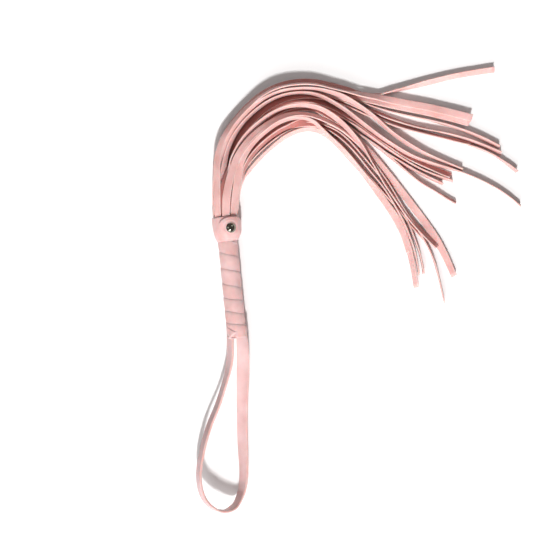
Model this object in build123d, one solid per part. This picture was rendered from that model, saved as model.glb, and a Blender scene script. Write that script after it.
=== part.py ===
from build123d import *
import math
import os

# Many-tailed leather whip, in millimetres. The origin is the middle of the grip, on the handle's axis.
# +Y runs along the handle towards the tails, +Z is up. The whip lies on its collar, its tails and its loop.

# Handle
GRIP_LENGTH = 78.0            # wrapped part that shows
GRIP_RADIUS = 8.15            # outside of the wrap
WRAP_THICKNESS = 1.4
CORE_RADIUS = 6.7             # turned wooden core
SPIGOT_RADIUS = 4.5           # thinner end of the core, inside the tail header
SPIGOT_LENGTH = 11.0
CORE_INSET = 2.0              # how far the core stops inside the butt end of the wrap
FIT_GAP = 0.05                # bonded faces are drawn this far apart

# Collar and its rivet
COLLAR_LENGTH = 18.5
COLLAR_RADIUS = 10.8
COLLAR_THICKNESS = 1.6
TAB_THICKNESS = 1.4           # the collar strap's end laps over its own start
TAB_WIDTH = 17.5
TAB_REACH = 9.0               # straight part of the lapped end, from the rivet round towards +X
RIVET_TILT = 20.0             # degrees round the handle, from the top towards +X
RIVET_CAP_RADIUS = 4.0
RIVET_CAP_HEIGHT = 2.2
RIVET_SHANK_RADIUS = 1.5
RIVET_DEPTH = 2.5             # the shank ends this far from the handle's axis
RIVET_SUNK = 0.35             # the cap beds into the leather

# Wrist loop strap
STRAP_WIDTH = 10.0
STRAP_THICKNESS = 1.8
STRAP_SPREAD = 4.8            # each leg's distance from the handle's axis
TANG_LENGTH = 27.0            # strap end bonded inside the butt
TANG_THICKNESS = 1.7
TANG_HALF_ANGLE = 42.0
LOOP_CLEARANCE = 0.3          # between the legs' round ends and the butt

# Tails
TAIL_WIDTH = 6.0
TAIL_THICKNESS = 1.2
LAYER_PITCH = 1.75            # height from one layer of tails to the next
LAYERS = 7
COLUMN_PITCH = 6.6            # side by side at the collar mouth
COLUMNS = {"left": -1, "middle": 0, "right": 1}
HEADER_RADIUS = 9.0           # uncut sheet that the tails are cut from, rolled round the spigot
KNUCKLE_RADIUS = 10.5         # tail roots end on this cylinder about the swing axis
KNUCKLE_GAP = 0.3
SWING_FROM_MOUTH = 11.5       # the swing axis stands this far out of the collar
ARC_SHARE = 0.45              # an arc takes this much of its shorter run
FLOOR_GAP = 0.1

BUTT_Y = -GRIP_LENGTH / 2
COLLAR_Y = GRIP_LENGTH / 2
MOUTH_Y = COLLAR_Y + COLLAR_LENGTH
SWING_Y = MOUTH_Y + SWING_FROM_MOUTH
LIFT_Y = BUTT_Y - STRAP_WIDTH / 2 - LOOP_CLEARANCE
FLOOR_Z = -COLLAR_RADIUS
LOWEST_TAIL_Z = FLOOR_Z + FLOOR_GAP + TAIL_THICKNESS / 2

# The tails leave the collar level with the handle and come down to the floor along the first bend.
NECK_END_Y = 80.0
NECK_SPREAD = 1.03            # the columns draw apart a little along the neck
NECK_LIFTS = [-(LAYERS - 1) / 2 * LAYER_PITCH - LOWEST_TAIL_Z, 4.5, 2.3]

# All tails of a column turn through the same bend, one above the other.
BENDS = {
    "left": [(0, 111), (19, 134), (46, 152), (76, 154)],
    "middle": [(10, 105), (25, 125), (50, 142), (77, 144)],
    "right": [(17, 100), (33, 115), (54, 126), (74, 127)],
}

# Past the bend they fan out: column, layer, how many last points lie on the floor, and the points.
TAILS = [
    ("left", 3, 3, [(103, 151), (124, 142), (146, 145), (172, 149), (199, 153), (225, 154)]),
    ("left", 5, 0, [(102, 148), (125, 142), (147, 135), (176, 127), (203, 117)]),
    ("left", 2, 0, [(103, 147), (125, 139), (147, 130), (175, 122), (201, 112)]),
    ("left", 1, 0, [(101, 148), (118, 140), (138, 130), (164, 122), (190, 112), (208, 103), (223, 92)]),
    ("left", 4, 0, [(98, 148), (113, 140), (128, 131), (143, 123), (163, 115), (185, 108), (206, 98),
                    (224, 87)]),
    ("left", 0, 0, [(97, 148), (113, 138), (128, 128), (144, 119), (168, 110), (192, 100), (212, 90),
                    (225, 81), (235, 71)]),
    ("middle", 1, 0, [(98, 141), (113, 132), (127, 124), (142, 118), (172, 109), (200, 98)]),
    ("left", 6, 2, [(97, 148), (111, 139), (125, 124), (137, 112), (152, 100), (172, 88), (192, 77)]),
    ("middle", 5, 3, [(98, 139), (117, 120), (135, 104), (150, 93), (168, 85), (192, 76), (208, 66),
                      (223, 56), (235, 44)]),
    ("middle", 3, 0, [(98, 133), (117, 114), (136, 99), (150, 90), (166, 81), (182, 73)]),
    ("middle", 4, 0, [(97, 137), (114, 118), (129, 103), (146, 89), (164, 78), (182, 68)]),
    ("middle", 0, 0, [(94, 136), (111, 119), (124, 105), (137, 94), (156, 79), (175, 66)]),
    ("middle", 2, 2, [(95, 132), (110, 116), (124, 103), (135, 90), (148, 80), (159, 69), (172, 60),
                      (184, 51)]),
    ("middle", 6, 0, [(95, 127), (108, 112), (119, 96), (128, 78), (139, 57), (152, 37), (166, 18)]),
    ("right", 5, 1, [(96, 121), (109, 106), (120, 92), (132, 75), (148, 54), (161, 33), (171, 13),
                     (177, -7)]),
    ("right", 6, 0, [(88, 116), (102, 102), (115, 83), (127, 63), (136, 42), (142, 25), (145, 6),
                     (146, -13)]),
    ("right", 3, 0, [(90, 120), (105, 106), (118, 87), (130, 67), (138, 48), (144, 30), (148, 13),
                     (149, -3)]),
    ("right", 4, 0, [(92, 121), (107, 108), (121, 89), (133, 68), (142, 47), (148, 26), (152, 11),
                     (153, -3)]),
    ("right", 2, 2, [(93, 122), (109, 107), (120, 91), (129, 73), (139, 51), (153, 29), (161, 12),
                     (165, -8), (167, -27)]),
    ("right", 1, 0, [(92, 120), (108, 105), (119, 89), (130, 69), (141, 51), (151, 34), (159, 24)]),
    ("right", 0, 0, [(91, 119), (106, 104), (117, 87), (128, 67), (136, 49), (141, 31), (144, 13)]),
]

# The strap stands on edge and runs round from the left leg to the right one.
LOOP_ROUTE = [
    (-STRAP_SPREAD, LIFT_Y), (-8, -60), (-13, -73), (-20, -90), (-29, -106), (-36, -124), (-41, -144),
    (-39, -161), (-32, -172), (-23, -177), (-14, -173), (-8, -162), (-5, -148), (-4, -121), (-1, -90),
    (1.5, -67), (STRAP_SPREAD, LIFT_Y),
]


def along_y(radius, start, end):
    """Round bar along the handle's axis."""
    bar = Cylinder(radius, end - start, align=(Align.CENTER, Align.CENTER, Align.MIN))
    return Pos(0, start, 0) * Rot(-90, 0, 0) * bar


def along_x(radius, length, y):
    return Pos(0, y, 0) * Rot(0, 90, 0) * Cylinder(radius, length)


def towards_rivet(shape):
    """Turns a shape built straight above the handle to the rivet's place."""
    return Pos(0, COLLAR_Y + COLLAR_LENGTH / 2, 0) * Rot(0, RIVET_TILT, 0) * shape


def core_rod():
    """Turned wooden core with a spigot, and a hollow on each side for the strap's ends."""
    spigot_end = COLLAR_Y + FIT_GAP + SPIGOT_LENGTH
    rod = along_y(CORE_RADIUS, BUTT_Y + CORE_INSET, COLLAR_Y + 2)
    rod += along_y(SPIGOT_RADIUS, COLLAR_Y, spigot_end)
    for side in (-1, 1):
        rod -= tang_sector(side, TANG_THICKNESS + FIT_GAP, TANG_HALF_ANGLE + 1, TANG_LENGTH + FIT_GAP)
    return rod - rivet_shank(FIT_GAP)


def tang_sector(side, thickness, half_angle, length):
    start = BUTT_Y + CORE_INSET
    ring = along_y(CORE_RADIUS, start, start + length) - along_y(CORE_RADIUS - thickness, start, start + length)
    reach = 2 * CORE_RADIUS
    rise = reach * math.tan(math.radians(half_angle))
    wedge = extrude(make_face(Polyline((0, 0), (side * reach, rise), (side * reach, -rise), close=True)),
                    amount=2 * length, both=True)
    return ring & (Pos(0, start, 0) * Rot(-90, 0, 0) * wedge)


def tail_grid():
    """Every tail's middle at the collar mouth."""
    for column in COLUMNS.values():
        for layer in range(LAYERS):
            yield column * COLUMN_PITCH, (layer - (LAYERS - 1) / 2) * LAYER_PITCH


def knuckle(radius):
    """Upright cylinder about the swing axis."""
    return Pos(0, SWING_Y, 0) * Cylinder(radius, 6 * HEADER_RADIUS)


def tail_header():
    """Uncut end of the tail leather, rolled round the spigot, with the root of every tail."""
    header = along_y(HEADER_RADIUS, COLLAR_Y + 2 + FIT_GAP, MOUTH_Y)
    header -= along_y(SPIGOT_RADIUS + FIT_GAP, COLLAR_Y, COLLAR_Y + SPIGOT_LENGTH + 2 * FIT_GAP)
    for x, z in tail_grid():
        root = Box(TAIL_WIDTH, SWING_FROM_MOUTH, TAIL_THICKNESS)
        header += Pos(x, MOUTH_Y + SWING_FROM_MOUTH / 2, z) * root
    return header - knuckle(KNUCKLE_RADIUS + KNUCKLE_GAP) - rivet_shank(FIT_GAP)


def collar_band():
    """Leather strap wrapped once round the header, its rounded end lapped over and riveted."""
    inner = COLLAR_RADIUS - COLLAR_THICKNESS
    band = along_y(COLLAR_RADIUS, COLLAR_Y, MOUTH_Y) - along_y(inner, COLLAR_Y, MOUTH_Y)
    end = RectangleRounded(2 * TAB_REACH + TAB_WIDTH, TAB_WIDTH, TAB_WIDTH / 2 - 0.1)
    end = extrude(Pos(TAB_REACH, 0) * end, amount=2 * COLLAR_RADIUS)
    shell = along_y(COLLAR_RADIUS + TAB_THICKNESS, COLLAR_Y, MOUTH_Y) - along_y(COLLAR_RADIUS, COLLAR_Y, MOUTH_Y)
    return band + (shell & towards_rivet(end)) - rivet_shank(FIT_GAP)


def rivet_shank(grow=0.0):
    top = COLLAR_RADIUS + TAB_THICKNESS
    shank = Cylinder(RIVET_SHANK_RADIUS + grow, top - RIVET_DEPTH + 2 * grow)
    return towards_rivet(Pos(0, 0, (top + RIVET_DEPTH) / 2 - grow) * shank)


def rivet_stud():
    """Domed cap and shank in one piece."""
    base = COLLAR_RADIUS + TAB_THICKNESS - RIVET_SUNK
    ball_radius = (RIVET_CAP_RADIUS ** 2 + RIVET_CAP_HEIGHT ** 2) / (2 * RIVET_CAP_HEIGHT)
    ball = Pos(0, 0, base + RIVET_CAP_HEIGHT - ball_radius) * Sphere(ball_radius)
    slab = Pos(0, 0, base + RIVET_CAP_HEIGHT / 2) * Box(4 * ball_radius, 4 * ball_radius, RIVET_CAP_HEIGHT)
    return towards_rivet(ball & slab) + rivet_shank()


def grip_wrap():
    """Leather strip wound round the core, drawn as one sleeve that runs on under the collar."""
    end = COLLAR_Y + 2
    return along_y(GRIP_RADIUS, BUTT_Y, end) - along_y(GRIP_RADIUS - WRAP_THICKNESS, BUTT_Y, end)


def arc_radii(route):
    """Radius of the arc at each inner point: as large as its two runs allow."""
    radii = []
    for before, here, after in zip(route, route[1:], route[2:]):
        first = Vector(here) - Vector(before)
        second = Vector(after) - Vector(here)
        half_turn = math.radians(first.get_angle(second)) / 2
        radii.append(ARC_SHARE * min(first.length, second.length) / math.tan(half_turn))
    return radii


def strip(route, width, height):
    """Flat strap along a route of straight runs and tangent arcs, width across it and height upright."""
    path = FilletPolyline(*route, radius=arc_radii(route))
    start = Plane(origin=path @ 0, x_dir=(path % 0).cross(Vector(0, 0, 1)), z_dir=path % 0)
    return sweep(start * Rectangle(width, height), path=path, binormal=(0, 0, 1)), path.length


def wrist_loop():
    """Strap on edge; each leg starts in a round end that turns in front of the butt."""
    loop, length = strip([(x, y, 0) for x, y in LOOP_ROUTE], STRAP_THICKNESS, STRAP_WIDTH)
    for side in (-1, 1):
        loop += Pos(side * STRAP_SPREAD, 0, 0) * along_x(STRAP_WIDTH / 2, STRAP_THICKNESS, LIFT_Y)
    return loop, length


def tail_route(column, layer, settled, fan):
    """Points from the collar mouth, round the column's bend and along the fan, with their heights."""
    x = COLUMNS[column] * COLUMN_PITCH
    plan = [(x, MOUTH_Y), (NECK_SPREAD * x, NECK_END_Y)] + BENDS[column] + fan
    route = []
    for i, (px, py) in enumerate(plan):
        lift = NECK_LIFTS[i] if i < len(NECK_LIFTS) else 0.0
        stacked = 0 if i >= len(plan) - settled else layer
        route.append((px, py, LOWEST_TAIL_Z + stacked * LAYER_PITCH + lift))
    return route


def tail(route):
    """One tail, its root trimmed round so that it can swing."""
    body, length = strip(route, TAIL_WIDTH, TAIL_THICKNESS)
    behind = Pos(0, SWING_Y - HEADER_RADIUS, 0) * Box(6 * HEADER_RADIUS, 2 * HEADER_RADIUS, 4 * HEADER_RADIUS)
    return body - (behind - knuckle(KNUCKLE_RADIUS)), length


def save(name, shape):
    shape.label = name
    export_step(shape, f"parts/{name}.step")


def main():
    os.makedirs("parts", exist_ok=True)
    save("core_rod", core_rod())
    save("tail_header", tail_header())
    save("collar_band", collar_band())
    save("rivet_stud", rivet_stud())
    save("grip_wrap", grip_wrap())
    for name, side in (("strap_tang_left", -1), ("strap_tang_right", 1)):
        save(name, tang_sector(side, TANG_THICKNESS, TANG_HALF_ANGLE, TANG_LENGTH))
    loop, length = wrist_loop()
    save("wrist_loop", loop)
    print(f"wrist_loop: {length:.0f} mm of strap")
    for number, description in enumerate(TAILS, 1):
        route = tail_route(*description)
        body, length = tail(route)
        save(f"tail_{number:02d}", body)
        share = body.volume / (TAIL_WIDTH * TAIL_THICKNESS * length)
        print(f"tail_{number:02d}: {length:.0f} mm, volume {share:.3f} of section times length,"
              f" radii {[round(r) for r in arc_radii(route)]}")


main()
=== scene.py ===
import math
import random

import bmesh
import bpy
import numpy as np
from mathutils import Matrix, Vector


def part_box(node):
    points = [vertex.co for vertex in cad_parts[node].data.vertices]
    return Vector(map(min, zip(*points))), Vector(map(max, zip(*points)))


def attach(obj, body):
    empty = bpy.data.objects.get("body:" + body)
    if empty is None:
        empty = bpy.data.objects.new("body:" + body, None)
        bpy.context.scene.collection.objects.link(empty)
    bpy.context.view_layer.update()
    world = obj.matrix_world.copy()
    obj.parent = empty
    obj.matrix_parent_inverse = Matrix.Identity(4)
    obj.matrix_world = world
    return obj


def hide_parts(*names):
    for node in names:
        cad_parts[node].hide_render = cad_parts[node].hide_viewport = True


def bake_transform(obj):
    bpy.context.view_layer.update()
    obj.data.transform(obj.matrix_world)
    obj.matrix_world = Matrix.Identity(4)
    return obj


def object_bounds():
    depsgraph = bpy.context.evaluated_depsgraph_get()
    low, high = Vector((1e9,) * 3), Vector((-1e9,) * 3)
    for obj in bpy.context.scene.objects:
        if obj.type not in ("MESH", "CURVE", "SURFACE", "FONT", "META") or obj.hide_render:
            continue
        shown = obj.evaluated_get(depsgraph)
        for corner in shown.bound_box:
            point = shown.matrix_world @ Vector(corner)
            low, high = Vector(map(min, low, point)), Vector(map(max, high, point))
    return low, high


# Many-tailed leather whip, lying on a pale floor. Shapes are worked out in millimetres and made in metres.

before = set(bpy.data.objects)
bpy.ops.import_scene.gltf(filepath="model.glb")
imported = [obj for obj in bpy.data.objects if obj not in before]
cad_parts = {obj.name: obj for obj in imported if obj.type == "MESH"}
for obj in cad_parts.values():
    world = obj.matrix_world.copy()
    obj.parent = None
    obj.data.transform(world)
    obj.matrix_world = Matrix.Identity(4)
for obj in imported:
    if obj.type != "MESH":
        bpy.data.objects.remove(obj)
CAD_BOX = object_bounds()
MM = 0.001

random.seed(7)

# Places taken from the frame
FLOOR = CAD_BOX[0].z / MM
COLLAR_LOW, COLLAR_HIGH = [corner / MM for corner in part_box("collar_band")]
GRIP_LOW, GRIP_HIGH = [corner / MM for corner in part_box("grip_wrap")]
MOUTH_Y = COLLAR_HIGH.y
COLLAR_Y = COLLAR_LOW.y
BUTT_Y = GRIP_LOW.y
GRIP_RADIUS = GRIP_HIGH.x
COLLAR_MIDDLE_Y = (COLLAR_Y + MOUTH_Y) / 2

# Strips
LINE_STEPS = 12               # points of a strip's line between two points of its route
FLOOR_GAP = 0.1               # air under a strip that rests on the floor
LEAST_FLOOR_GAP = 0.08        # air under the lowest corner of any strip

# Tails
TAIL_WIDTH = 6.0
TAIL_THICKNESS = 1.2
NECK = [                      # y, then how the place at the mouth spreads and shifts in x and spreads in z
    (MOUTH_Y - 4, 1.0, 0.0, 1.0), (MOUTH_Y + 5, 1.12, 0.7, 1.17), (78.0, 1.28, 2.8, 1.12),
]
NECK_FLATTENING = 0.65        # how far the strips within 60 degrees of the top follow the collar's curve
BENDS = {                     # the three lines that the tails bend along, as x and y
    "left": [(0, 111), (19, 134), (46, 152), (76, 154)],
    "middle": [(10, 105), (25, 125), (50, 142), (77, 144)],
    "right": [(17, 100), (33, 115), (54, 126), (74, 127)],
}

# One row for each tail: bend; place at the mouth as radius and angle from the top; distance outwards from
# the bend's line at each of its points; lean in degrees, then least height of the strip's middle above the
# floor, both as (point of the route, value) pairs; and the points past the bend, as x and y. A tail with no
# heights rests on the floor.
TAILS = {
    "tail_01": ("left", 8.5, -88, (3.0, 4.4, 6.0, 6.6),
                [(3, 66), (4, 66), (5, 60), (6, 46), (7, 43), (8, 62), (9, 106), (10, 126), (12, 134)],
                [(3, 8.5), (5, 7.0), (6, 5), (7, 4.6), (8, 3.4), (10, 2.6)],
                [(103, 151), (124, 142), (146, 145), (172, 149), (199, 153), (225, 154)]),
    "tail_02": ("left", 8.5, -40, (1.6, 2.6, 3.8, 3.6),
                [(3, 24), (4, 56), (5, 74), (6, 78), (7, 74), (8, 40), (9, 4), (11, -8)],
                [(3, 14), (4, 12.6), (5, 11.6), (6, 10.4), (8, 7.6), (9, 6.6), (11, 5.8)],
                [(102, 148), (125, 142), (147, 135), (176, 127), (203, 117)]),
    "tail_03": ("left", 8.5, -136, (1.4, 2.2, 2.6, 2.4),
                [(3, 66), (6, 66), (7, 50), (8, 10), (9, -5), (11, -8)],
                [(3, 4), (6, 4.2), (8, 5), (9, 5), (11, 4.2)],
                [(103, 146), (125, 139), (147, 131.5), (175, 123.5), (201, 113.5)]),
    "tail_04": ("left", 4.4, -100, (0, 0.6, 1.0, 1.0),
                [(3, 68), (6, 68), (9, 76), (11, 94), (13, 112)],
                [(3, 6), (5, 4.4), (7, 3.2)],
                [(101, 146), (118, 138), (138, 129), (164, 121), (190, 111), (208, 102), (223, 92)]),
    "tail_05": ("left", 6.45, -126, (-1.2, -0.8, -0.8, -0.8),
                [(3, 72), (6, 70), (9, 62), (11, 78), (13, 108), (14, 114)],
                [],
                [(98, 145), (113, 137), (128, 129), (143, 121), (163, 113), (185, 106), (206, 97),
                 (224, 87)]),
    "tail_06": ("left", 6.45, -178, (-2.6, -2.6, -2.6, -2.6),
                [(3, 76), (6, 75), (9, 66), (11, 62), (13, 92), (15, 100)],
                [],
                [(97, 144), (113, 135), (128, 126), (144, 117), (168, 108), (192, 99), (212, 90), (225, 81),
                 (235, 71)]),
    "tail_07": ("middle", 8.5, 176, (2.4, 3.8, 4.6, 4.6),
                [(3, 36), (4, 24), (6, 26), (8, 74), (10, 86), (12, 60)],
                [(3, 5), (5, 6), (7, 4)],
                [(98, 141), (113, 132), (127, 124), (142, 116), (172, 106), (200, 97)]),
    "tail_08": ("left", 6.45, -72, (-0.6, 0.2, 0.6, -0.6),
                [(3, -30), (4, -60), (5, -72), (6, -72), (7, -66), (9, -66), (11, -74), (13, -76)],
                [(3, 12), (4, 11.8), (5, 11.4), (6, 10.8), (8, 9), (10, 6), (13, 3)],
                [(97, 147), (111, 138), (125, 126), (138, 111.5), (153, 99), (172, 87), (192, 77)]),
    "tail_09": ("middle", 4.4, -28, (6.5, 8.0, 8.0, 6.6),
                [(3, -60), (4, -74), (5, -78), (6, -78), (8, -70), (9, -68), (11, -80), (13, -98),
                 (15, -104)],
                [(3, 9.6), (4, 9.6), (5, 9.6), (6, 9.2), (8, 7.6), (10, 4.4), (12, 3)],
                [(98, 138), (117, 120), (133, 105.5), (150, 92.5), (168, 84), (192, 75), (208, 66),
                 (223, 56), (235, 44)]),
    "tail_10": ("middle", 0.8, 0, (1.6, 2.4, 2.4, 2.4),
                [(3, 34), (4, 18), (6, 10), (7, 50), (8, 80), (9, 70), (10, 52), (12, 50)],
                [(3, 5), (5, 4.2), (7, 3.2)],
                [(98, 134), (117, 117), (134, 102), (149, 91), (166, 81), (182, 73)]),
    "tail_11": ("middle", 4.4, -172, (0, 0, 0, 0),
                [(3, 70), (5, 16), (6, 14), (8, 100), (9, 102), (12, 96)],
                [(3, 3), (5, 2.8), (7, 5), (9, 4), (11, 3)],
                [(97, 131), (115, 115.5), (133, 99.5), (148, 87.5), (165, 76.5), (183, 68.5)]),
    "tail_12": ("middle", 4.4, 116, (-1.6, -2.2, -2.2, -2.2),
                [(3, 70), (5, 14), (6, 16), (8, 80), (9, 96), (12, 100)],
                [(3, 1.8), (5, 1.6)],
                [(94, 131), (112, 114), (128, 99.5), (141, 89), (158, 77), (175, 67)]),
    "tail_13": ("middle", 6.45, 130, (-3, -4.4, -4.4, -4.4),
                [(3, 70), (5, 12), (6, 14), (7, 24), (8, 76), (10, 98), (12, 80), (14, 70)],
                [],
                [(92.6, 128.6), (108.6, 116.6), (122, 106), (137, 91), (148, 79), (158, 69.5),
                 (171, 60), (184, 51)]),
    "tail_14": ("middle", 6.45, -20, (0.4, -0.6, -2.4, -4.2),
                [(3, -78), (4, -76), (5, -74), (6, -66), (7, -62), (8, -64), (9, -96), (10, -118),
                 (11, -126), (13, -126)],
                [(3, 15), (5, 14.6), (6, 14), (7, 12.5), (8, 10), (9, 7.6), (11, 5.6), (13, 4.2)],
                [(96, 127), (111, 108), (121, 88), (131, 68), (142, 49), (152, 33.5), (165.5, 17.5)]),
    "tail_15": ("right", 8.5, 4, (5.2, 6.2, 7.0, 6.0),
                [(3, 0), (4, 16), (5, 46), (6, 60), (7, 60), (8, 26), (9, -14), (12, -18), (13, -34),
                 (14, -44)],
                [(3, 17.6), (5, 15), (6, 13), (7, 9), (9, 3), (11, 1.6)],
                [(96, 121), (112, 107), (124, 91), (136, 73), (149, 53), (161, 33), (171, 13), (177, -7)]),
    "tail_16": ("right", 8.5, 46, (1.4, 3.6, 4.2, 3.2),
                [(3, -12), (4, -50), (5, -66), (6, -72), (7, -76), (9, -58), (10, -34), (11, -30),
                 (13, -48), (14, -50)],
                [(3, 17), (5, 13.4), (6, 11), (7, 8.4), (9, 5), (11, 3)],
                [(86, 116), (99.5, 101), (112.5, 81.5), (125.5, 61.5), (135.5, 43), (142, 25),
                 (145, 6), (146, -13)]),
    "tail_17": ("right", 8.5, 88, (-3.4, -2.6, -1.6, -0.2),
                [(3, -68), (4, -70), (5, -68), (6, 20), (7, 58), (8, 64), (9, 80), (10, 92), (13, 96)],
                [(3, 12), (5, 10), (6, 7), (7, 4.4)],
                [(91, 119), (104.2, 105.4), (116.4, 86.5), (129.5, 66), (138, 47), (144, 30),
                 (148, 13), (149, -3)]),
    "tail_18": ("right", 6.45, 82, (-1.0, -0.2, 0.6, 1.2),
                [(3, -40), (4, 30), (5, 54), (6, 62), (8, 66), (9, 84), (13, 94)],
                [(3, 9), (5, 7), (6, 5), (8, 3.2)],
                [(92.9, 121.2), (106.4, 107.9), (118, 89.4), (132, 69), (142, 47), (148, 27),
                 (152, 11), (153, -3)]),
    "tail_19": ("right", 4.4, 44, (1.0, 0.6, 1.0, 2.0),
                [(3, 40), (4, 20), (6, 20), (7, 60), (9, 72), (12, 84), (15, 86)],
                [(3, 5), (5, 3.4)],
                [(94, 123), (110, 108), (122, 91), (132, 73), (142, 51), (154, 29), (161, 12), (165, -8),
                 (167, -27)]),
    "tail_20": ("right", 6.45, 30, (-3.6, -4.4, -3.4, -1.4),
                [(3, 50), (4, 56), (5, 60), (6, 62), (8, 64), (9, 76), (13, 40)],
                [(3, 5), (6, 3)],
                [(87.8, 117.4), (101.7, 102.2), (113.6, 84.2), (127.6, 64.9), (140, 49), (150, 34),
                 (158, 24)]),
    "tail_21": ("right", 8.5, 133, (-8.6, -9.6, -7.6, -4.6),
                [(3, -74), (4, -76), (5, -66), (6, -60), (7, -66), (9, -60), (11, -30), (13, -18)],
                [(3, 6), (5, 5), (7, 3)],
                [(87, 115), (100, 100), (113, 81), (126, 61), (135.5, 44), (141, 29), (143.5, 15)]),
}

# Tails that lie with their flesh side up; that side's dark red is partly painted shade, put on the faces
# that turn away from the lamps
FLESH_UP_PAINTED_SHADE = ["tail_" + number for number in "01 04 05 06 07 10 11 12 13 17 18 19 20".split()]

# Wrist strap: route as x, y and height above the floor, from the left leg round to the right one; then its
# lean and its share of the full width, as (point of the route, value) pairs: it is narrower under the wrap
STRAP_WIDTH = 10.0
STRAP_THICKNESS = 1.8
STRAP_ROUTE = [
    (-5.2, -28, 13.4), (-5.4, -44.3, 13.4), (-8, -60, 13), (-13, -73, 13.5), (-20, -90, 14.5),
    (-29, -106, 16), (-36, -124, 18), (-41, -144, 20), (-39.5, -160, 21), (-32.5, -170, 21.5),
    (-23, -174.5, 19.5), (-14, -171.5, 11.5), (-8, -161, 6.6), (-5, -148, 5.2), (-4, -121, 5.4),
    (-1, -90, 7.6), (2.2, -67, 11), (4.4, -44.3, 14.6), (3.9, -28, 15),
]
STRAP_LEAN = [
    (0, 120), (1, 120), (3, 110), (7, 112), (8, 111), (9, 106), (10, 90), (11, 70), (12, 57), (13, 50),
    (14, 38), (15, 32), (16, 14), (17, -14), (18, -36),
]
STRAP_SHARE = [(0, 0.75), (1, 0.92), (2, 1), (16, 1), (17, 0.92), (18, 0.75)]

# Grip wrap: where the strip's upper edge crosses the top of the handle, turn by turn
WRAP_EDGES = [40.0, 27.5, 15.3, 2.7, -7.9, -18.4, -27.4, -39.3]
WRAP_STEPS = 96               # cross-sections of the strip in one turn
WRAP_OVERLAP = 2.4
WRAP_STEP = 0.32              # how high a turn's edge stands on the turn before
WRAP_CROWN = 0.16
WRAP_FACE = (0, 0.01, 0.03, 0.06, 0.12, 0.2, 0.32, 0.45, 0.58, 0.7, 0.82, 0.92, 0.985, 1)
WRAP_BACK = (1, 0.8, 0.5, 0.3, 0.12, 0)      # both are shares of the strip's width, from its upper edge
STRAP_BULGE = 1.0             # of the wrap over the strap's right end
BULGE_Y = -24.0
BULGE_RUN = 8.0               # it grows from BULGE_Y over this length
BULGE_ANGLE = 82.0
BULGE_SPREAD = 34.0
WRAP_CORNERS = {              # corners of the wrap's two tucked ends, as angle round the handle and y
    "wrap_start_fold": [(20, 36.6), (63, 38.6), (70, 34.6)],
    "wrap_end_fold": [(-68, -28.6), (1, -34), (-46, -39.2)],
}
FLAP_RISE = 0.3               # from a tucked end's rim to its middle
FLAP_SUNK = 0.64              # how deep its underside lies in the grip
CORE_RADIUS = 6.7
CORE_GAP = 0.05               # between the core and the wrap
WRAP_LEATHER = 0.72

# Tail header: a sheet rolled round the spigot
ROLL_TURNS = 3
ROLL_STEPS = 60               # cross-sections of the sheet in one turn
ROLL_START = 5.2              # radius of the innermost turn
ROLL_PITCH = 1.24
SHEET_THICKNESS = 1.0
SHEET_TOP = MOUTH_Y - 2
SHEET_LOW = COLLAR_Y + 6

# Collar: outer radius, then bore, along the handle as (y, radius) pairs
COLLAR_PROFILE = [
    (38.2, 8.1), (38.4, 8.4), (39.4, 8.75), (41, 9.3), (43, 9.9), (45.5, 10.35), (49, 10.65),
    (53, 10.8), (56.8, 10.75), (57.35, 10.5), (57.5, 10.1),
]
COLLAR_BORE = [(57.45, 9.6), (57.2, 9.25), (54, 9.25), (44, 9.25), (41, 8.2), (38.2, 7.6)]
COLLAR_GRID = 0.6             # largest distance between two points of the profile

# The collar strap's lapped end, round the handle in degrees: its rounded tip is left of the rivet
TAB_MIDDLE = 48.2
TAB_HALF = 8.8
TAB_TIP = -31.0
TAB_END = 150.0
TAB_LEATHER = 1.4
TAB_ROUNDING = 0.3
TAB_FACE = 40                 # strips of the mesh across its face, and across its back
TAB_BACK = 11
RIVET_ANGLE = 20.0
RIVET_SEAT = 11.5             # distance of the rivet's seat from the handle's axis
DIMPLE_RADIUS = 5.9           # of the ring pressed in round the rivet, and the seat raised inside it
DIMPLE_DEPTH = 0.4
SEAT_RADIUS = 4.9
SEAT_RISE = 0.3

# View and light
LENS = 96.0
SENSOR = 36.0
VIEW_WIDTH = 448.0            # of the floor
VIEW_MIDDLE = (38.3, 3.5)
VIEW_ROLL = -5.6
SOFTBOX_DISTANCE = 2.0        # metres
FLOOR_REACH = 3000.0


def keyed(keys, places):
    """Values between (place, value) pairs, eased so that they don't turn suddenly."""
    at = np.array([k[0] for k in keys], float)
    values = np.array([k[1] for k in keys], float)
    found = np.clip(np.searchsorted(at, places, side="right") - 1, 0, len(at) - 2)
    share = np.clip((places - at[found]) / (at[found + 1] - at[found]), 0, 1)
    share = share * share * (3 - 2 * share)
    return values[found] + share * (values[found + 1] - values[found])


def spline_points(route):
    """Points along the smooth line of a route, and each one's place in it, counted in route points."""
    curve = bpy.data.curves.new("line", "CURVE")
    curve.dimensions = "3D"
    curve.resolution_u = LINE_STEPS
    line = curve.splines.new("NURBS")
    line.points.add(len(route) - 1)
    for point, place in zip(line.points, route):
        point.co = (*(Vector(place) * MM), 1)
    line.order_u = 3
    line.use_endpoint_u = True
    holder = bpy.data.objects.new("line", curve)
    bpy.context.collection.objects.link(holder)
    mesh = bpy.data.meshes.new_from_object(holder)
    points = np.array([v.co for v in mesh.vertices], float) / MM
    bpy.data.objects.remove(holder)
    bpy.data.meshes.remove(mesh)
    last = len(route) - 1
    nearest = [0] + [i - 0.5 for i in range(1, last)] + [last - 1]
    places = np.interp(np.linspace(0, last - 1, len(points)), nearest, range(last + 1))
    return points, places


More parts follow.
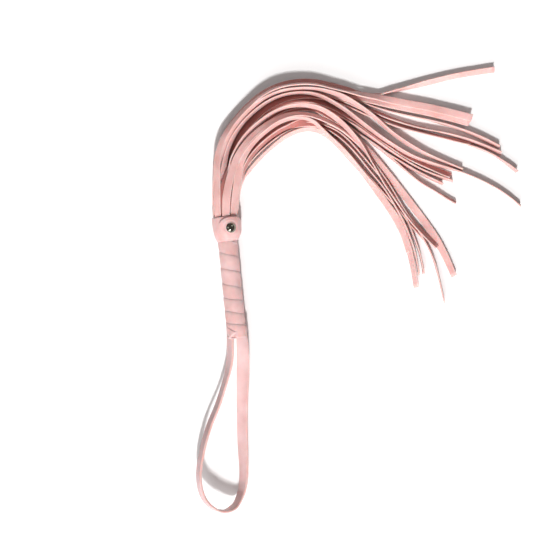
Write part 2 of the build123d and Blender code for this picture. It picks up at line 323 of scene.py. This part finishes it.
def strip_frames(points, lean):
    """Across and outwards directions of a strip at each of its points."""
    along = np.gradient(points, axis=0)
    along /= np.linalg.norm(along, axis=1)[:, None]
    level = np.cross(along, (0, 0, 1))
    level /= np.linalg.norm(level, axis=1)[:, None]
    upright = np.cross(level, along)
    turn = np.radians(lean)[:, None]
    across = np.cos(turn) * level + np.sin(turn) * upright
    face = -np.sin(turn) * level + np.cos(turn) * upright
    return across, face


def strip_section(width, thickness):
    """Outline of a flat strip with rounded edges, as (across, out) points."""
    bevel = min(0.42 * thickness, 0.5)
    flat = width / 2 - bevel
    high = thickness / 2 - bevel
    outline = [(share * flat, thickness / 2) for share in np.linspace(-1, 1, 7)]
    for side, angles in ((1, (60, 30, 0)), (-1, (0, -30, -60))):
        for angle in angles:
            a = math.radians(angle)
            outline.append((flat + bevel * math.cos(a), side * high + bevel * math.sin(a)))
    outline += [(share * flat, -thickness / 2) for share in np.linspace(1, -1, 7)]
    for side, angles in ((-1, (-120, -150, 180)), (1, (180, 150, 120))):
        for angle in angles:
            a = math.radians(angle)
            outline.append((-flat + bevel * math.cos(a), side * high + bevel * math.sin(a)))
    return np.array(outline)


SECTION_KINDS = [0] * 6 + [1] * 7 + [2] * 6 + [1] * 7      # face, edge, back, edge


def make_mesh(name, vertices, faces, slots, materials):
    """Mesh object from points in millimetres, smooth, with a material index for each face."""
    mesh = bpy.data.meshes.new(name)
    mesh.from_pydata([tuple(v) for v in np.asarray(vertices) * MM], [], faces)
    for material in materials:
        mesh.materials.append(material)
    mesh.polygons.foreach_set("material_index", slots)
    mesh.polygons.foreach_set("use_smooth", [True] * len(faces))
    mesh.update()
    obj = bpy.data.objects.new(name, mesh)
    bpy.context.collection.objects.link(obj)
    return obj


def ring_mesh(name, rings, kinds, materials, capped=True):
    """Mesh object through closed rings of points, with a material index for each point's side of a ring."""
    rings = np.array(rings)
    count = rings.shape[1]
    last = (len(rings) - 1) * count
    faces = []
    slots = []
    for start in range(0, last, count):
        for k in range(count):
            a = start + k
            b = start + (k + 1) % count
            faces.append((a, a + count, b + count, b))
            slots.append(kinds[k])
    if capped:
        faces.append(tuple(range(count)))
        faces.append(tuple(range(last + count - 1, last - 1, -1)))
        slots += [1, 1]
    return make_mesh(name, rings.reshape(-1, 3), faces, slots, materials)


def strip_mesh(name, points, lean, width, thickness, materials, skew=0.0):
    """Closed flat strip along points, leaning by lean degrees; materials are for face, edge and back."""
    across, face = strip_frames(points, lean)
    width = np.broadcast_to(width, len(points))
    rings = []
    for i in range(len(points)):
        outline = strip_section(width[i], thickness)
        rings.append(points[i] + outline[:, :1] * across[i] + outline[:, 1:] * face[i])
    rings = np.array(rings)
    onwards = (points[-1] - points[-2]) / np.linalg.norm(points[-1] - points[-2])
    rings[-1] += skew * strip_section(width[-1], thickness)[:, :1] * onwards
    lowest = rings[:, :, 2].min(axis=1)
    rings[:, :, 2] += np.clip(FLOOR + LEAST_FLOOR_GAP - lowest, 0, None)[:, None]
    return ring_mesh(name, rings, SECTION_KINDS, materials)


def rest_height(lean):
    """Height of a strip's middle above the floor when its lower edge rests on it."""
    turn = math.radians(lean)
    return TAIL_WIDTH / 2 * abs(math.sin(turn)) + TAIL_THICKNESS / 2 * abs(math.cos(turn))


def tail_route(row):
    """Route of one tail from inside the collar, and its lean along it."""
    bend, radius, angle, outwards, leans, heights, fan = row
    turn = math.radians(angle)
    x, z = radius * math.sin(turn), radius * math.cos(turn)
    route = [(spread * x + shift, y, rise * z) for y, spread, shift, rise in NECK]
    middle = BENDS[bend]
    for i, (px, py) in enumerate(middle):
        before = Vector(middle[max(i - 1, 0)])
        after = Vector(middle[min(i + 1, len(middle) - 1)])
        way = (after - before).normalized()
        route.append((px - way.y * outwards[i], py + way.x * outwards[i], 0))
    route += [(px, py, 0) for px, py in fan]
    places = np.arange(len(route), dtype=float)
    flattening = NECK_FLATTENING if abs(angle) < 60 else 1.0
    half_turns = round((leans[0][1] + angle) / 180)
    first = -flattening * angle + 180 * half_turns
    leans = [(place, first) for place in range(len(NECK))] + leans
    lean = keyed(leans, places)
    support = keyed(heights, places) if heights else np.zeros(len(route))
    finished = []
    for i, (px, py, pz) in enumerate(route):
        if i >= len(NECK):
            pz = FLOOR + FLOOR_GAP + max(rest_height(lean[i]), support[i])
        if i == len(NECK) and not heights:
            pz = 0.6 * pz + 0.4 * z
        finished.append((px, py, pz))
    return finished, leans


class Graph:
    """Small helper for writing a material's nodes."""

    def __init__(self, name):
        self.material = bpy.data.materials.new(name)
        self.material.use_nodes = True
        self.tree = self.material.node_tree
        self.shader = self.tree.nodes["Principled BSDF"]

    def node(self, kind, inputs=(), **settings):
        made = self.tree.nodes.new(kind)
        for key, value in settings.items():
            setattr(made, key, value)
        for key, value in dict(inputs).items():
            if isinstance(value, bpy.types.NodeSocket):
                self.tree.links.new(value, made.inputs[key])
            else:
                made.inputs[key].default_value = value
        return made

    def set(self, **inputs):
        for key, value in inputs.items():
            socket = self.shader.inputs[key.replace("_", " ").title().replace("Ior", "IOR")]
            if isinstance(value, bpy.types.NodeSocket):
                self.tree.links.new(value, socket)
            else:
                socket.default_value = value

    def noise(self, where, scale, detail=3.0, stretch=None):
        if stretch:
            where = self.node("ShaderNodeMapping", {"Vector": where, "Scale": stretch}).outputs["Vector"]
        inputs = {"Vector": where, "Scale": scale, "Detail": detail}
        return self.node("ShaderNodeTexNoise", inputs).outputs["Fac"]

    def range(self, value, low, high, to_low, to_high):
        limits = {"Value": value, "From Min": low, "From Max": high, "To Min": to_low, "To Max": to_high}
        return self.node("ShaderNodeMapRange", limits).outputs["Result"]

    def mix(self, share, first, second, blend="MIX"):
        made = self.node("ShaderNodeMix", data_type="RGBA", blend_type=blend)
        for place, value in ((0, share), (6, first), (7, second)):
            if isinstance(value, bpy.types.NodeSocket):
                self.tree.links.new(value, made.inputs[place])
            else:
                made.inputs[place].default_value = value if place == 0 else (*value, 1)
        return made.outputs[2]

    def bump(self, height, depth, strength=1.0, under=None):
        inputs = {"Height": height, "Distance": depth, "Strength": strength}
        if under:
            inputs["Normal"] = under
        return self.node("ShaderNodeBump", inputs).outputs["Normal"]


def leather_material(name, colour, grain=0.5, roughness=0.56, nap=0.0):
    """Leather with a pebbled grain, uneven dye, paler worn corners and, for a flesh side, a nap."""
    g = Graph(name)
    where = g.node("ShaderNodeTexCoord").outputs["Object"]
    patches = g.noise(where, 70, 4)
    flecks = g.noise(where, 900, 2)
    dark = tuple(c * k for c, k in zip(colour, (0.90, 0.84, 0.83)))
    pale = tuple(min(1, c * k) for c, k in zip(colour, (1.06, 1.10, 1.11)))
    dye = g.mix(g.range(patches, 0.32, 0.68, 0, 1), dark, pale)
    dye = g.mix(g.range(flecks, 0.35, 0.75, 0, 0.22), dye, pale)
    corner = g.node("ShaderNodeNewGeometry").outputs["Pointiness"]
    worn = tuple(min(1, c + 0.10) for c in colour)
    dye = g.mix(g.range(corner, 0.52, 0.62, 0, 0.45), dye, worn)
    cells = g.node("ShaderNodeTexVoronoi", {"Vector": where, "Scale": 550 / grain, "Randomness": 0.9})
    pebbles = g.range(cells.outputs["Distance"], 0.0, 0.8, 1, 0)
    if nap:
        fine = g.noise(where, 2600, 2, stretch=(1, 0.35, 1))
    else:
        fine = g.noise(where, 5200, 2, stretch=(1, 1, 1))
    wrinkles = g.noise(where, 240, 3)
    normal = g.bump(wrinkles, 0.00022, 0.5)
    normal = g.bump(pebbles, 0.00005, 0.35 * grain + 0.1, normal)
    normal = g.bump(fine, 0.00003 + 0.00005 * nap, 0.6, normal)
    g.set(base_color=dye, normal=normal,
          roughness=g.range(patches, 0.3, 0.7, roughness - 0.05, roughness + 0.09),
          specular_ior_level=0.32 - 0.2 * nap, sheen_weight=0.06 + 0.3 * nap, sheen_roughness=0.5,
          subsurface_weight=0.5, subsurface_radius=(1.0, 0.28, 0.2), subsurface_scale=0.0016)
    return g.material


def nickel_material():
    """Polished nickel with fine scratches and a little tarnish, coloured far darker than nickel as a
    painted dark reflection.
    """
    g = Graph("rivet_nickel_painted_dark_reflection")
    where = g.node("ShaderNodeTexCoord").outputs["Object"]
    scratches = g.noise(where, 3000, 2, stretch=(1, 0.15, 1))
    tarnish = g.noise(where, 500, 3)
    # Very dark metal colour: a painted reflection of a dark room; the mix of the two tones is tarnish
    metal = g.mix(g.range(tarnish, 0.35, 0.7, 0, 1), (0.20, 0.195, 0.15), (0.27, 0.265, 0.23))
    g.set(base_color=metal, metallic=1.0, roughness=g.range(tarnish, 0.3, 0.7, 0.07, 0.17),
          normal=g.bump(scratches, 0.000002, 0.2))
    return g.material


def wood_material():
    """Turned, unvarnished wood with its grain along the handle."""
    g = Graph("core_wood_turned")
    where = g.node("ShaderNodeTexCoord").outputs["Object"]
    grain = g.noise(where, 420, 5, stretch=(1, 0.08, 1))
    colour = g.mix(g.range(grain, 0.3, 0.7, 0, 1), (0.36, 0.22, 0.11), (0.62, 0.43, 0.25))
    g.set(base_color=colour, roughness=0.7, normal=g.bump(grain, 0.0002, 0.5))
    return g.material


def floor_material():
    """Plain white board, very slightly uneven."""
    g = Graph("floor_white")
    where = g.node("ShaderNodeTexCoord").outputs["Object"]
    tone = g.mix(g.noise(where, 9, 3), (0.85, 0.85, 0.845), (0.87, 0.87, 0.87))
    g.set(base_color=tone, roughness=0.9, specular_ior_level=0.1)
    return g.material


def tails():
    """All tails; the ones that lie back up show their flesh side, whose dark red is partly painted shade.
    """
    face = leather_material("tail_face", (0.70, 0.43, 0.405))
    edge = leather_material("tail_edge", (0.74, 0.50, 0.465), roughness=0.75, nap=0.6)
    # Flesh side: a real nap, but its dark red is partly painted shade for the faces turned from the lamps
    back = leather_material("tail_back_painted_shade", (0.44, 0.165, 0.145), roughness=0.8, nap=1.0)
    for name, row in TAILS.items():
        sides = [back, edge, face] if name in FLESH_UP_PAINTED_SHADE else [face, edge, back]
        route, leans = tail_route(row)
        points, places = spline_points(route)
        uneven = np.clip((places - 3) / 2, 0, 1)
        first, second, third = (random.uniform(0, 6.28) for _ in range(3))
        wander = 3.5 * np.sin(1.7 * places + first) + 2 * np.sin(3.9 * places + second)
        lean = keyed(leans, places) + uneven * wander
        width = TAIL_WIDTH * (1 + 0.03 * np.sin(2.3 * places + third) + random.uniform(-0.03, 0.02))
        piece = strip_mesh(name + "_strip", points, lean, width, TAIL_THICKNESS, sides,
                           skew=random.uniform(-0.3, 0.3))
        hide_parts(name)
        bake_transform(piece)


def wrist_strap():
    """The strap's loop and both its ends under the wrap, as one unbroken strip."""
    face = leather_material("strap_face", (0.66, 0.445, 0.435))
    edge = leather_material("strap_edge", (0.70, 0.46, 0.43), roughness=0.7, nap=0.5)
    back = leather_material("strap_back", (0.60, 0.40, 0.40), roughness=0.75, nap=0.5)
    route = [(x, y, FLOOR + height) for x, y, height in STRAP_ROUTE]
    points, places = spline_points(route)
    width = STRAP_WIDTH * keyed(STRAP_SHARE, places)
    piece = strip_mesh("wrist_strap", points, keyed(STRAP_LEAN, places), width, STRAP_THICKNESS,
                       [face, edge, back])
    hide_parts("wrist_loop", "strap_tang_left", "strap_tang_right")
    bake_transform(piece)


def on_handle(angle, y, radius):
    """Point at an angle in degrees round the handle, from the top towards +X."""
    turn = math.radians(angle)
    return (radius * math.sin(turn), y, radius * math.cos(turn))


def wrap_section(upper, lower, step_high):
    """Cross-section of the wrap's strip, as (y, radius); its upper edge lies on the turn before."""
    length = upper - lower
    inside = CORE_RADIUS + CORE_GAP
    section = []
    for share in WRAP_FACE:
        rise = step_high * max(0, 1 - share * 1.25)
        crown = WRAP_CROWN * math.sin(math.pi * min(share * 1.2, 1))
        edge = 0.75 * step_high * max(0, 1 - share / 0.15) ** 2
        radius = inside + WRAP_LEATHER + rise + crown - edge
        if share > 0.95:
            radius -= 0.3 * (share - 0.95) / 0.05
        section.append((upper - share * length, radius))
    for share in WRAP_BACK:
        rise = WRAP_LEATHER * max(0, 1 - share / 0.3)
        section.append((upper - share * length, inside + 0.9 * rise))
    return section


def grip_wrap(leather):
    """One leather strip wound round the core, each turn's upper edge lying on the turn before."""
    turns = np.arange(len(WRAP_EDGES))
    rings = []
    for step in range(WRAP_STEPS * len(WRAP_EDGES)):
        s = step / WRAP_STEPS - 1
        wobble = 0.25 * math.sin(9.3 * s) + 0.15 * math.sin(23.0 * s + 1)
        upper = float(np.interp(s, turns, WRAP_EDGES)) + wobble
        lower = float(np.interp(s + 1, turns, WRAP_EDGES)) - WRAP_OVERLAP
        if s < 0:
            upper = WRAP_EDGES[0]
        lower = max(lower, BUTT_Y + 0.2)
        upper = max(upper, lower + 0.6)
        step_high = WRAP_STEP + 0.13 * math.sin(5.1 * s + 0.6) * math.sin(2.3 * s)
        angle = 360 * s
        near_butt = min(1, max(0, (BULGE_Y - upper) / BULGE_RUN))
        bulge = STRAP_BULGE * near_butt * math.exp(-((angle % 360 - BULGE_ANGLE) / BULGE_SPREAD) ** 2)
        section = wrap_section(upper, lower, step_high)
        rings.append([on_handle(angle, y, radius + bulge) for y, radius in section])
    kinds = [1, 1, 1] + [0] * (len(WRAP_FACE) + len(WRAP_BACK) - 3)
    piece = ring_mesh("wound_grip", rings, kinds, leather)
    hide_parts("grip_wrap")
    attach(piece, "handle")
    for name, corners in WRAP_CORNERS.items():
        flap(name, corners, leather).parent = piece


def flap(name, corners, leather):
    """Thin three-cornered end of the wrap, lying on the grip between corners given as (angle, y)."""
    count = 12
    grid = []
    for i in range(count + 1):
        for j in range(count + 1 - i):
            grid.append(np.array([i, j, count - i - j]) / count)
    outer = []
    inner = []
    for shares in grid:
        angle, y = shares @ np.array(corners)
        outer.append(on_handle(angle, y, GRIP_RADIUS - FLAP_RISE + FLAP_RISE * min(1, 9 * shares.min())))
        inner.append(on_handle(angle, y, GRIP_RADIUS - FLAP_SUNK))
    faces = []
    start = 0
    for i in range(count):
        row = count + 1 - i
        for j in range(row - 1):
            a, b, c = start + j, start + j + 1, start + row + j
            faces.append((a, b, c))
            if j < row - 2:
                faces.append((b, c + 1, c))
        start += row
    under = len(outer)
    faces += [tuple(k + under for k in reversed(f)) for f in faces]
    for side in range(3):
        rim = sorted((shares[(side + 1) % 3], k) for k, shares in enumerate(grid) if shares[side] == 0)
        faces += [(a, b, b + under, a + under) for (_, a), (_, b) in zip(rim, rim[1:])]
    piece = make_mesh(name, np.array(outer + inner), faces, [0] * len(faces), leather)
    mesh = bmesh.new()
    mesh.from_mesh(piece.data)
    bmesh.ops.recalc_face_normals(mesh, faces=mesh.faces)
    mesh.to_mesh(piece.data)
    mesh.free()
    return piece


def header_roll(leather):
    """The uncut sheet that the tails are cut from, rolled round the core's spigot inside the collar."""
    half = SHEET_THICKNESS / 2
    rim = SHEET_TOP - 0.2
    section = [(rim, -half), (SHEET_TOP, 0), (rim, half), (SHEET_LOW, half), (SHEET_LOW, -half)]
    rings = []
    for step in range(ROLL_TURNS * ROLL_STEPS + 1):
        turn = step / ROLL_STEPS
        middle = ROLL_START + ROLL_PITCH * turn
        rings.append([on_handle(360 * turn, y, middle + out) for y, out in section])
    piece = ring_mesh("rolled_header", rings, [1, 1, 0, 1, 0], leather)
    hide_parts("tail_header")
    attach(piece, "handle")


def collar_radius(y):
    """Outer radius of the collar at a place along the handle."""
    return float(np.interp(y, [p[0] for p in COLLAR_PROFILE], [p[1] for p in COLLAR_PROFILE]))


def collar(leather):
    """Band round the tails' root, thinned towards the grip, and its lapped end."""
    profile = COLLAR_PROFILE + COLLAR_BORE
    dense = []
    for (y0, r0), (y1, r1) in zip(profile, profile[1:] + profile[:1]):
        steps = max(1, int(math.hypot(y1 - y0, r1 - r0) / COLLAR_GRID))
        for k in range(steps):
            dense.append((y0 + (y1 - y0) * k / steps, r0 + (r1 - r0) * k / steps))
    rings = []
    for angle in range(0, 361, 2):
        wave = 0.07 * math.sin(math.radians(3 * angle + 40)) + 0.05 * math.sin(math.radians(7 * angle))
        rings.append([on_handle(angle, y + 0.4 * wave, r + wave) for y, r in dense])
    piece = ring_mesh("collar_wrapped", rings, [0] * len(dense), leather, capped=False)
    weld(piece)
    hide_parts("collar_band")
    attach(piece, "handle")
    collar_tab(leather).parent = piece


def smooth(start, end, value):
    """0 before start, 1 past end, and eased between them."""
    share = min(1, max(0, (value - start) / (end - start)))
    return share * share * (3 - 2 * share)


def collar_tab(leather):
    """Rounded end of the collar strap, lapped over the band, pressed in round the rivet."""
    reach = RIVET_ANGLE - TAB_TIP
    shares = [1 - math.cos(math.radians(a)) for a in np.linspace(9, 90, 36)]
    angles = [TAB_TIP + reach * share for share in shares] + list(np.linspace(RIVET_ANGLE + 2, TAB_END, 64))
    rings = []
    for angle in angles:
        back = max(0, (RIVET_ANGLE - angle) / reach)
        half = TAB_HALF * math.sqrt(max(0.0001, 1 - back * back))
        top = TAB_MIDDLE + half - 2.4 * smooth(40, 95, angle)
        low = TAB_MIDDLE - half
        around = math.radians(angle - RIVET_ANGLE) * RIVET_SEAT
        thinned = (1 - 0.85 * smooth(95, TAB_END, angle)) * (0.75 + 0.25 * smooth(TAB_TIP, 0, angle))
        ring = []
        for y in low + (top - low) * np.linspace(0, 1, TAB_FACE + 1):
            edge = min(y - low, top - y) / TAB_ROUNDING
            rounded = (1 - 0.55 * max(0, 1 - edge) ** 2) * (0.3 + 0.7 * smooth(low, low + 6, y))
            far = math.hypot(around, y - COLLAR_MIDDLE_Y)
            dimple = DIMPLE_DEPTH * (1 - smooth(DIMPLE_RADIUS - 0.9, DIMPLE_RADIUS, far))
            seat = SEAT_RISE * (1 - smooth(SEAT_RADIUS - 0.9, SEAT_RADIUS, far))
            lift = TAB_LEATHER * thinned * rounded - dimple + seat
            ring.append(on_handle(angle, y, collar_radius(y) + lift))
        for y in low + (top - low) * np.linspace(1, 0, TAB_BACK + 1):
            ring.append(on_handle(angle, y, collar_radius(y) - 0.25))
        rings.append(ring)
    kinds = [0] * TAB_FACE + [1] + [0] * TAB_BACK + [1]
    piece = ring_mesh("collar_lap", rings, kinds, leather)
    return piece


def weld(obj):
    """Join the points that lie on each other, such as a ring's two ends."""
    mesh = bmesh.new()
    mesh.from_mesh(obj.data)
    bmesh.ops.remove_doubles(mesh, verts=mesh.verts, dist=0.00001)
    mesh.to_mesh(obj.data)
    mesh.free()


def handle():
    """Everything that stays with the handle."""
    face = leather_material("handle_face", (0.67, 0.43, 0.415))
    edge = leather_material("handle_edge", (0.64, 0.38, 0.375), roughness=0.7, nap=0.5)
    grip_wrap([face, edge])
    header_roll([face, edge])
    collar([face, edge])
    for node, material in (("rivet_stud", nickel_material()), ("core_rod", wood_material())):
        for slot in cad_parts[node].material_slots:
            slot.material = material


def camera():
    """Straight above, rolled so that the handle leans a little to the left."""
    data = bpy.data.cameras.new("camera")
    data.lens = LENS
    data.sensor_width = SENSOR
    obj = bpy.data.objects.new("camera", data)
    height = VIEW_WIDTH / SENSOR * LENS
    obj.location = Vector((*VIEW_MIDDLE, FLOOR + height)) * MM
    obj.rotation_euler = (0, 0, math.radians(VIEW_ROLL))
    bpy.context.collection.objects.link(obj)
    bpy.context.scene.camera = obj


def place_light(data, azimuth, elevation, distance=0):
    """Put a light azimuth degrees right of the butt's end, seen from above, turned to the handle."""
    a = math.radians(azimuth)
    e = math.radians(elevation)
    source = Vector((math.sin(a) * math.cos(e), -math.cos(a) * math.cos(e), math.sin(e)))
    obj = bpy.data.objects.new(data.name, data)
    obj.location = distance * source
    obj.rotation_euler = source.to_track_quat("Z", "Y").to_euler()
    bpy.context.collection.objects.link(obj)


def sun(name, azimuth, elevation, strength, angle):
    """Light whose source is angle degrees across."""
    data = bpy.data.lights.new(name, "SUN")
    data.energy = strength
    data.angle = math.radians(angle)
    place_light(data, azimuth, elevation)


def softbox(name, azimuth, elevation, size, radiance):
    """Round soft light, size metres across."""
    data = bpy.data.lights.new(name, "AREA")
    data.shape = "DISK"
    data.size = size
    data.energy = radiance * math.pi * math.pi * size * size / 4
    place_light(data, azimuth, elevation, SOFTBOX_DISTANCE)


def studio():
    """World light, lamps and the floor."""
    scene = bpy.context.scene
    scene.view_settings.view_transform = "Standard"
    world = bpy.data.worlds.new("world")
    world.use_nodes = True
    world.node_tree.nodes["Background"].inputs["Color"].default_value = (1, 0.88, 0.87, 1)
    world.node_tree.nodes["Background"].inputs["Strength"].default_value = 0.19
    scene.world = world
    sun("key", -4, 47, 1.8, 3)
    sun("key_high", -3, 50, 1.5, 4)
    softbox("front", -14, 31, 1.1, 7.5)
    softbox("rim", 128, 37, 0.3, 14)
    softbox("fill", -100, 54, 0.9, 2)
    mesh = bpy.data.meshes.new("floor")
    corners = [(-1, -1), (1, -1), (1, 1), (-1, 1)]
    places = [Vector((x * FLOOR_REACH, y * FLOOR_REACH, FLOOR)) * MM for x, y in corners]
    mesh.from_pydata([tuple(place) for place in places], [], [(0, 1, 2, 3)])
    obj = bpy.data.objects.new("floor", mesh)
    mesh.materials.append(floor_material())
    bpy.context.collection.objects.link(obj)


camera()
studio()
tails()
wrist_strap()
handle()
